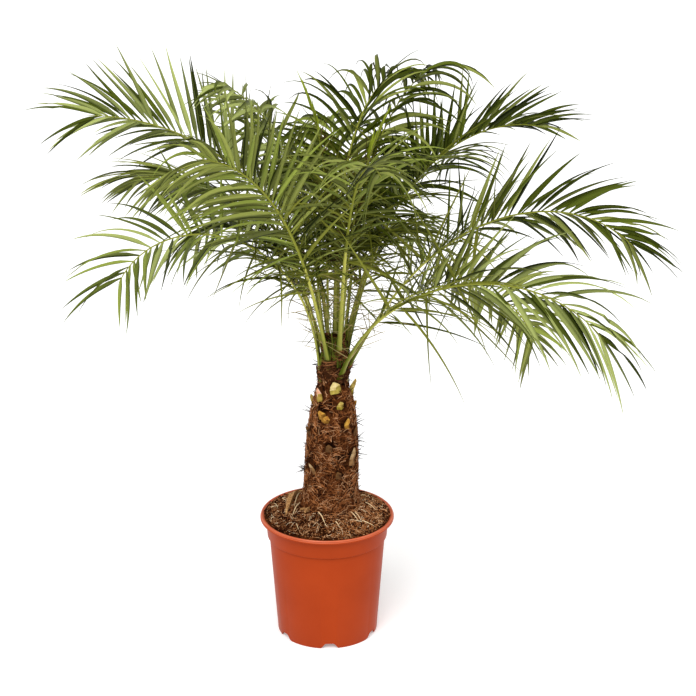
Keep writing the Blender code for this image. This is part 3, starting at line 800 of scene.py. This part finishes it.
def make_husks():
    """Dark papery points beside the old leaf scars, which roughen the trunk's outline."""
    heap = Heap()
    for angle, height in leaf_scars(HUSK_SCARS, 0.252, 0.53):
        for _ in range(HUSKS_EACH):
            path = trunk_path(
                angle + between(-0.4, 0.4), height + between(-0.006, 0.012), between(-0.6, 0.6), 0.0,
                between(0.006, 0.013), -0.003, between(0.0045, 0.0105), steps=4,
            )
            half = between(0.001, 0.0028) * (1 - np.linspace(0, 1, len(path))[:-1, None] ** 2)
            up = HUSK_THICK * np.array((0.6, 1, 0.6, -1)) * np.ones_like(half)
            heap.add(*loft(*framed(path), half * np.array((1, 0, -1, 0)), up))
    husk = finish("dark_husk", (0.008, 0.003, 0.002), (0.07, 0.02, 0.007), 200, 0.9)
    heap.piece("husks", husk)


# Tufts of black hair at the trunk's sides: angle in degrees, height, and how many hairs
HAIR_TUFTS = (
    (186, 0.312, 9), (-4, 0.366, 6), (2, 0.402, 4), (0, 0.508, 4), (182, 0.512, 4),
    (177, 0.423, 3), (-3, 0.345, 3), (90, 0.38, 5), (60, 0.33, 4), (130, 0.44, 4),
)


def make_loose_hairs():
    """Black hairs that stand out from the trunk, some in tufts."""
    heap = Heap()
    places = [
        (math.radians(degrees) + bell(0, 0.08), height + bell(0, 0.003))
        for degrees, height, count in HAIR_TUFTS for _ in range(count)
    ]
    tufted = len(places)
    places += [(between(0, math.tau), between(0.27, 0.5)) for _ in range(LONE_HAIRS)]
    for index, (angle, height) in enumerate(places):
        heading = unit(np.array((math.cos(angle), math.sin(angle), between(-0.6, 1.0))))
        length = between(0.01, 0.022) if index < tufted else between(0.006, 0.014)
        path = on_trunk(angle, height, -0.002) + np.linspace(0, length, 5)[:, None] * heading
        path[:, 2] -= np.linspace(0, 1, 5) ** 2 * length * between(-0.2, 0.4)
        thick = 0.0008 if index < tufted else 0.0006
        heap.strand(path, thick, np.cross(heading, (0.3, 0.2, 1.0)))
    hair = finish("black_hair", (0.006, 0.004, 0.003), (0.035, 0.018, 0.01), 60, 0.7)
    heap.piece("loose_hairs", hair)


# Each kind: dark and light colour of the skin, then of the pale cut. The pale cut colour is also a
# painted highlight on the top and on the facets facing the light.
LEAF_BASE_FINISHES = {
    "cut": ((0.2, 0.14, 0.03), (0.46, 0.36, 0.07), (0.5, 0.36, 0.12), (0.76, 0.64, 0.31)),
    "pink": ((0.22, 0.13, 0.025), (0.48, 0.34, 0.07), (0.58, 0.24, 0.12), (0.86, 0.6, 0.42)),
    "green": ((0.13, 0.08, 0.014), (0.38, 0.29, 0.04), (0.28, 0.17, 0.035), (0.6, 0.48, 0.13)),
    "amber": ((0.11, 0.04, 0.01), (0.36, 0.18, 0.028), (0.34, 0.14, 0.025), (0.62, 0.36, 0.06)),
    "dry": ((0.1, 0.042, 0.016), (0.26, 0.14, 0.055), (0.22, 0.12, 0.05), (0.46, 0.32, 0.17)),
    "worn": ((0.05, 0.02, 0.008), (0.12, 0.056, 0.02), (0.08, 0.036, 0.013), (0.16, 0.078, 0.027)),
}
OLD_KINDS = ("dry", "worn")


def make_leaf_base():
    """One old leaf base of unit size: a four-sided point, ridged outward, that leans up and out."""
    base = open_shape(
        bpy.ops.mesh.primitive_cylinder_add, vertices=4, radius=0.5, depth=0.4, location=(0, 0, -0.35)
    )
    select_end(base)
    for move, scale in (
        ((0.3, 0.03, 0.32), (0.95, 0.92, 1)), ((0.2, -0.06, 0.24), (0.7, 0.66, 1)),
        ((0.1, -0.05, 0.22), (0.22, 0.2, 1)),
    ):
        push(move, scale)
    bpy.ops.mesh.select_all(action="SELECT")
    bpy.ops.mesh.subdivide(number_cuts=2)
    close_shape()
    # The pale second material goes on the upper part and, lower down, on the facets facing -Y. It is
    # partly the paler cut face and partly a painted highlight on the lit top and side.
    for face in base.data.polygons:
        face.material_index = int(face.center.z > (-0.1 if face.normal.y < 0 else 0.2))
    return base


def make_leaf_bases():
    """Old leaf bases: fresh and pale near the crown, brown and worn lower down."""
    master = make_leaf_base()
    for kind, (skin_dark, skin_light, cut_and_lit_dark, cut_and_lit_light) in LEAF_BASE_FINISHES.items():
        looks = [
            finish(f"{kind}_{part}", dark, light, 150, 0.7, relief=0.0003, relief_grain=700)
            for part, dark, light in (("skin", skin_dark, skin_light), ("cut", cut_and_lit_dark, cut_and_lit_light))
        ]
        deselect()
        for degrees, height, width, length, lean, own_kind in LEAF_BASES:
            if own_kind != kind:
                continue
            copy = link(master.copy())
            copy.data = master.data.copy()
            for look in looks:
                copy.data.materials.append(look)
            angle = math.radians(degrees)
            copy.matrix_world = (
                Matrix.Translation(skin_place(angle, height, 0.0005))
                @ Matrix.Rotation(angle + between(-0.3, 0.3), 4, "Z")
                @ Matrix.Rotation(math.radians(lean), 4, "X")
                @ Matrix.Rotation(between(-0.1, 0.2), 4, "Y")
                @ Matrix.Diagonal((0.006 if kind in OLD_KINDS else 0.01, width, length, 1))
            )
            copy.select_set(True)
            bpy.context.view_layer.objects.active = copy
        bpy.ops.object.join()
        bpy.ops.object.transform_apply()
        bases = bpy.context.object
        bases.name = f"leaf_bases_{kind}"
        roughen(bases, "knocks", "CLOUDS", 0.005, 0.0018)
        apply_modifiers(bases)
        set_piece(bases, crease=30)
    bpy.data.objects.remove(master)


def smooth_step(value):
    value = np.clip(value, 0, 1)
    return value * value * (3 - 2 * value)


def turned_about(vectors, axes, angles):
    """Vectors turned about unit axes by angles in radians."""
    cos = np.cos(angles)[..., None]
    sin = np.sin(angles)[..., None]
    dots = (vectors * axes).sum(-1, keepdims=True)
    return vectors * cos + np.cross(axes, vectors) * sin + axes * dots * (1 - cos)


class Rib:
    """A frond's middle line: places and directions at even shares."""

    def __init__(self, frond):
        self.frond = frond
        self.shares = np.linspace(0, 1, STEPS_PER_RIB + 1)
        middles = (self.shares[1:] + self.shares[:-1]) / 2
        steps = self.headings(middles) * frond.length / STEPS_PER_RIB
        self.turn = math.radians(frond.azimuth + frond.swing)
        foot = on_trunk(self.turn, frond.seat, -SEAT_DEPTH)
        self.places = foot + np.vstack([np.zeros(3), np.cumsum(steps, axis=0)])
        self.along = self.headings(self.shares)
        turns = self.turns(self.shares)
        level = columns(np.sin(turns), -np.cos(turns), np.zeros_like(turns))
        twist = np.radians(frond.roll * smooth_step(self.shares / TWIST_END))
        self.sides = turned_about(level, self.along, twist)
        self.normals = np.cross(self.sides, self.along)

    def turns(self, shares):
        return np.radians(self.frond.azimuth + self.frond.swing * (1 - shares) ** SWING_POWER)

    def headings(self, shares):
        frond = self.frond
        slopes = np.radians(frond.rise - frond.droop * shares**frond.power)
        turns = self.turns(shares)
        level = np.cos(slopes)
        return columns(level * np.cos(turns), level * np.sin(turns), np.sin(slopes))

    def at(self, share):
        """Place, direction, side and normal at one share."""
        spot = share * STEPS_PER_RIB
        low = min(int(spot), STEPS_PER_RIB - 1)
        part = spot - low
        tables = self.places, self.along, self.sides, self.normals
        return [rows[low] * (1 - part) + rows[low + 1] * part for rows in tables]


def rib_width(share):
    return RIB_BASE_WIDTH + (RIB_TIP_WIDTH - RIB_BASE_WIDTH) * share**RIB_TAPER_POWER


def bent_path(root, direction, length, sag, curl, rings):
    """A path that sets out in a direction, sags to its tip and swerves by curl, both in degrees."""
    steps = (np.arange(rings) + 0.5) / rings
    level = math.hypot(*direction[:2])
    headings = np.repeat(direction[None], rings, axis=0)
    headings[:, 2] -= np.tan(np.radians(np.clip(sag * steps, 0, 84))) * level
    headings = turned_about(unit(headings), UP, np.radians(curl) * steps**2)
    return root + np.vstack([np.zeros(3), np.cumsum(headings * length / rings, axis=0)])


def leaflet_path(rib, share, sign, length, sag, turn=0.0, lift=0.0, curl=0.0):
    """A leaflet's midrib, and the rib's direction and normal at its foot."""
    place, along, side, normal = rib.at(share)
    blade_share = (share - BLADE_START) / (1 - BLADE_START)
    fall = (LEAFLET_BASE_ANGLE - LEAFLET_TIP_ANGLE) * max(blade_share, 0) ** LEAFLET_ANGLE_POWER
    angle = math.radians(LEAFLET_BASE_ANGLE - fall + rib.frond.open + turn)
    rise = math.radians(rib.frond.lift + lift)
    across = side * sign * math.cos(rise) + normal * math.sin(rise)
    direction = along * math.cos(angle) + across * math.sin(angle)
    root = place + side * sign * rib_width(share) * 0.32
    return bent_path(root, direction, length, sag, curl, LEAFLET_RINGS), along, normal


def blade_place(step):
    """A share of the whole rib, by a leaflet's place from 0 to 1 along the rows."""
    return BLADE_START + (BLADE_END - BLADE_START) * min(max(step, 0), 1)


def grown(blade_share):
    """A leaflet's share of its full length, by its place along the blade."""
    start = smooth_step(LEAFLET_FIRST_GROWTH + blade_share / LEAFLET_FULL_SHARE)
    return start * (1 - LEAFLET_TIP_LOSS * blade_share**LEAFLET_LOSS_POWER)


RIB_OUTLINE = np.array((
    (1.0, 0.35), (0.55, 0.75), (0.0, 0.45), (-0.55, 0.75), (-1.0, 0.35), (-0.75, -0.55), (0.0, -1.0),
    (0.75, -0.55),
))
SHEATH_SHARE = 0.09
SHEATH_SPREAD = 0.2


def add_rib(heap, rib, first, last):
    """A stalk between two shares, broader at its foot, where it clasps the trunk."""
    span = (rib.shares >= first - 1e-6) & (rib.shares <= last + 1e-6)
    rows = [table[span][::3] for table in (rib.shares, rib.places, rib.sides, rib.normals)]
    if first == 0:
        rows = [np.concatenate([table[:1], table]) for table in rows]
        rows[1][0] -= rib.along[0] * 0.012
    shares, places, sides, normals = rows
    clasp = 1 + SHEATH_SPREAD * (1 - smooth_step(shares / SHEATH_SHARE))
    half = rib_width(shares) / 2 * clasp
    thickness = RIB_BASE_THICKNESS + (RIB_TIP_THICKNESS - RIB_BASE_THICKNESS) * shares
    deep = thickness / 2 * (1 + (clasp - 1) * 0.3)
    # Tone rises from the stalk's foot to its tip, with a random shift for each stalk. Across the stalk
    # the top is painted lighter and the edges darker, and one lower flank is lighter than the other:
    # painted highlight and painted shade.
    tones = np.repeat(np.clip(0.18 + shares * 1.8, 0, 0.75) + between(-0.12, 0.18), 8)
    tones = tones.reshape(-1, 8) + np.array((-0.3, 0.1, 0.25, 0.1, -0.3, 0.15, 0.05, -0.15))
    across = half[:-1, None] * RIB_OUTLINE[:, 0]
    up = deep[:-1, None] * RIB_OUTLINE[:, 1]
    heap.add(*loft(places, sides, normals, across, up), np.append(tones[:-1].ravel(), 0.5))


def add_blade(heap, path, along, normal, width, fold, tone, belly=0.22, point=1.7):
    """A leaf blade folded along its midrib, from a narrow foot out to a drawn-out tip."""
    tangents = unit(np.gradient(path, axis=0))
    spread = unit(along - tangents * (tangents @ along)[:, None])
    above = np.cross(spread, tangents)
    above = above * np.where((above @ normal)[:, None] < 0, -1, 1)
    above = turned_about(above, tangents, np.radians(bell(0, 14)))
    spread = np.cross(tangents, above)
    shares = np.linspace(0, 1, len(path))[:-1]
    swell = 0.3 + 0.7 * smooth_step(shares / belly)
    half = width / 2 * swell * (1 - shares**point)
    out = half * math.cos(fold)
    raised = half * math.sin(fold)
    keel = LEAFLET_KEEL * (1 - shares * 0.7)
    none = np.zeros_like(half)
    # Painted shade and painted highlight across the fold: one edge darker, and the midrib, other edge and
    # keel lighter, as on a leaflet lit from one side.
    tones = np.tile(tone + np.array((-0.26, 0.1, 0.16, 0.1)), len(shares))
    across = columns(out, none, -out, none)
    up = columns(raised, none, raised, -keel)
    heap.add(*loft(path, spread, above, across, up), np.append(tones, tone))


def add_leaflets(heaps, rib):
    """Both rows of a frond's leaflets, a few of them dealt to the next shade."""
    frond = rib.frond
    own = SHADES.index(frond.shade)
    for pair in range(frond.pairs):
        for sign in (-1, 1):
            share = blade_place((pair + between(-0.3, 0.3)) / (frond.pairs - 1))
            blade_share = (share - BLADE_START) / (1 - BLADE_START)
            length = LEAFLET_LENGTH * frond.blade * grown(blade_share) * between(0.86, 1.05)
            full = smooth_step(blade_share / 0.46) * (1 - 0.25 * blade_share)
            width = LEAFLET_FOOT_WIDTH + (LEAFLET_WIDTH - LEAFLET_FOOT_WIDTH) * full
            width *= between(0.72, 1.08)
            shade = own
            if chance.random() < 0.25:
                shade = (own + 1) % (len(SHADES) - 1)
            glow = 1
            if frond.shade == "light":
                glow = 0.55 + 0.65 * blade_share
                if blade_share < LIGHT_START:
                    shade = SHADES.index("olive")
            stray = 1 + 2 * (1 - full)
            midrib = leaflet_path(
                rib, share, sign, length, frond.sag * (0.7 + 0.7 * blade_share) * between(0.75, 1.25),
                bell(0, 5 * stray), bell(0, 9 * stray), bell(0, 13 * stray),
            )
            fold = math.radians(LEAFLET_FOLD + bell(0, 6))
            add_blade(heaps[SHADES[shade]], *midrib, width, fold, between(0.06, 1.0) * glow)


def add_young_leaflets(tips, curls, rib):
    """A heart leaf: its tip a tight pale bunch, its lower leaflets narrow, dark and crimped."""
    frond = rib.frond
    for pair in range(frond.pairs):
        for sign in (-1, 1):
            share = blade_place(pair / (frond.pairs - 1))
            if share >= YOUNG_TIP_START:
                midrib = leaflet_path(rib, share, sign, between(0.03, 0.05), 0, -22, bell(0, 20))
                add_blade(tips, *midrib, 0.0075, 0.4, between(0, 1))
                continue
            path, along, normal = leaflet_path(
                rib, share, sign, between(0.045, 0.095), between(10, 60), bell(0, 16),
                bell(0, 20), bell(0, 50),
            )
            waves = np.sin(np.linspace(0, 1, len(path)) * between(12, 22))
            path = path + waves[:, None] * along * between(0.0008, 0.0024)
            add_blade(curls, path, along, normal, between(0.0026, 0.0042), 0.4, between(0, 1))


def add_threads(heap, rib):
    """Narrow low leaflets, which hang and stray from the foot of the blade."""
    for _ in range(THREADS_EACH):
        share = between(BLADE_START - 0.04, BLADE_START + 0.28)
        midrib = leaflet_path(
            rib, share, chance.choice((-1, 1)), between(0.11, 0.21), between(0, 60), bell(0, 24),
            bell(0, 28), bell(0, 16),
        )
        add_blade(heap, *midrib, between(0.0036, 0.0072), 0.4, between(0, 1), 0.1)


def add_spines(heap, rib):
    """Needle spines along the stalk below the leaflets, the longest next to the blade."""
    for share in np.linspace(0.09, BLADE_START, SPINE_PAIRS):
        for sign in (-1, 1):
            place, along, side, normal = rib.at(share + between(-0.01, 0.01))
            direction = unit(side * sign + along * between(-0.2, 0.7) + normal * between(-0.4, 0.7))
            root = place + side * sign * rib_width(share) * 0.4
            length = between(0.018, 0.05) + 0.1 * share
            path = bent_path(root, direction, length, between(-5, 20), 0, 5)
            heap.strand(path, between(0.0006, 0.001), along)


def make_sheath_fibres():
    """Fibres that bind the stalks' feet to the trunk's head, most of them brown."""
    shades = (
        ("sheath_dark", (0.02, 0.007, 0.003), (0.075, 0.026, 0.009)),
        ("sheath_brown", (0.15, 0.052, 0.02), (0.28, 0.115, 0.045)),
    )
    heaps = [Heap() for _ in shades]
    for frond in FRONDS:
        rib = Rib(frond)
        for _ in range(SHEATH_BANDS):
            start = between(-0.012, 0.016)
            place, along, side, _ = rib.at(0.0)
            reach = between(0.007, 0.016)
            steps = np.linspace(-1, 1, 7)[:, None]
            slant = between(-0.6, 0.6)
            rise = between(0.003, 0.0062)
            hug = np.array((math.cos(rib.turn), math.sin(rib.turn), 0.0))
            bow = (1 - 1.5 * steps**2) * rise
            path = place + along * start + (side + along * slant) * steps * reach + hug * bow
            heaps[int(chance.random() < 0.45)].strand(path, between(0.0005, 0.001), hug)
    for _ in range(SHEATH_FIBRES):
        path = trunk_path(
            between(0, math.tau), between(0.485, 0.562), between(-1.2, 1.2), bell(0, 0.8),
            between(0.012, 0.03), between(-0.001, 0.003), chance.exponential(0.003),
        )
        heaps[int(chance.random() < 0.35)].strand(path, between(0.0004, 0.0009))
    green = Heap()
    for _ in range(GREEN_FIBRES):
        path = trunk_path(
            between(0, math.tau), between(0.508, 0.535), bell(0, 0.12), bell(0, 0.2),
            between(0.035, 0.07), between(0.001, 0.003), between(0.0, 0.006),
        )
        green.strand(path, between(0.0013, 0.0026))
    show_heaps(heaps, shades, 0.9)
    fresh = finish("sheath_green", (0.02, 0.028, 0.002), (0.15, 0.17, 0.018), 60, 0.5)
    green.piece("sheath_green", fresh, "leaf", crease=60)


def make_fronds():
    leaves = {shade: Heap() for shade in SHADES}
    stalks, ribs, spines, threads, curls = (Heap() for _ in range(5))
    for frond in FRONDS:
        rib = Rib(frond)
        add_rib(stalks, rib, 0, 0.4)
        add_rib(ribs, rib, 0.375, 1)
        if frond.shade == "young":
            add_young_leaflets(leaves["young"], curls, rib)
        else:
            add_leaflets(leaves, rib)
        add_spines(spines, rib)
        add_threads(threads, rib)
    for shade, heap in leaves.items():
        parts = [
            f"frond_{frond.name}{part}" for frond in FRONDS if frond.shade == shade
            for part in ("", "_inner", "_outer")
        ]
        nodes = [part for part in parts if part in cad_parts]
        slot = "young_leaf" if shade == "young" else "leaf"
        skin = leaf_finish(f"leaf_{shade}", *LEAF_COLOURS[shade])
        heap.piece(f"leaflets_{shade}", skin, slot, nodes, 28)
    for name, heap, dark, light in (
        ("stalks", stalks, (0.055, 0.075, 0.002), (0.64, 0.62, 0.13)),
        ("ribs", ribs, (0.1, 0.12, 0.008), (0.27, 0.28, 0.04)),
        ("threads", threads, (0.03, 0.04, 0.002), (0.19, 0.2, 0.026)),
        ("curls", curls, (0.03, 0.014, 0.003), (0.11, 0.085, 0.014)),
    ):
        heap.piece(name, leaf_finish(f"{name}_green", dark, light), "leaf", crease=50)
    needle = finish("spine_straw", (0.085, 0.085, 0.035), (0.4, 0.31, 0.12), 40, 0.5)
    spines.piece("spines", needle, "leaf")


def make_stage():
    bpy.ops.mesh.primitive_plane_add(size=60)
    floor = bpy.context.object
    floor.name = "floor"
    material, shader = surface("pale_floor", 0.9, 0.0)
    set_values(shader, Base_Color=(0.92, 0.92, 0.92, 1))
    set_values(shader, Emission_Color=(1, 1, 1, 1), Emission_Strength=0.25)
    floor.data.materials.append(material)
    world = bpy.data.worlds.new("studio")
    bpy.context.scene.world = world
    world.use_nodes = True
    set_values(world.node_tree.nodes["Background"], Color=(1, 1, 1, 1), Strength=0.55)
    for name, place, angle, power in LAMPS:
        lamp = bpy.data.lights.new(name, "SUN")
        lamp.angle = math.radians(angle)
        lamp.energy = power
        light = link(bpy.data.objects.new(name, lamp))
        light.location = place
        light.rotation_euler = (-Vector(place)).to_track_quat("-Z", "Y").to_euler()


def make_camera():
    """The photograph's view."""
    lens = bpy.data.cameras.new("camera")
    lens.lens = LENS_MM
    lens.sensor_width = 36
    camera = link(bpy.data.objects.new("camera", lens))
    camera.location = CAMERA_PLACE
    camera.rotation_euler = (math.radians(90 - CAMERA_DOWN), 0, 0)
    bpy.context.scene.camera = camera
    bpy.context.scene.view_settings.view_transform = "Standard"


make_camera()
make_pot()
make_soil()
make_crumbs()
make_roots()
make_thick_roots()
make_trunk_core()
make_trunk_fibres()
make_husks()
make_loose_hairs()
make_leaf_bases()
make_fronds()
make_sheath_fibres()
make_stage()
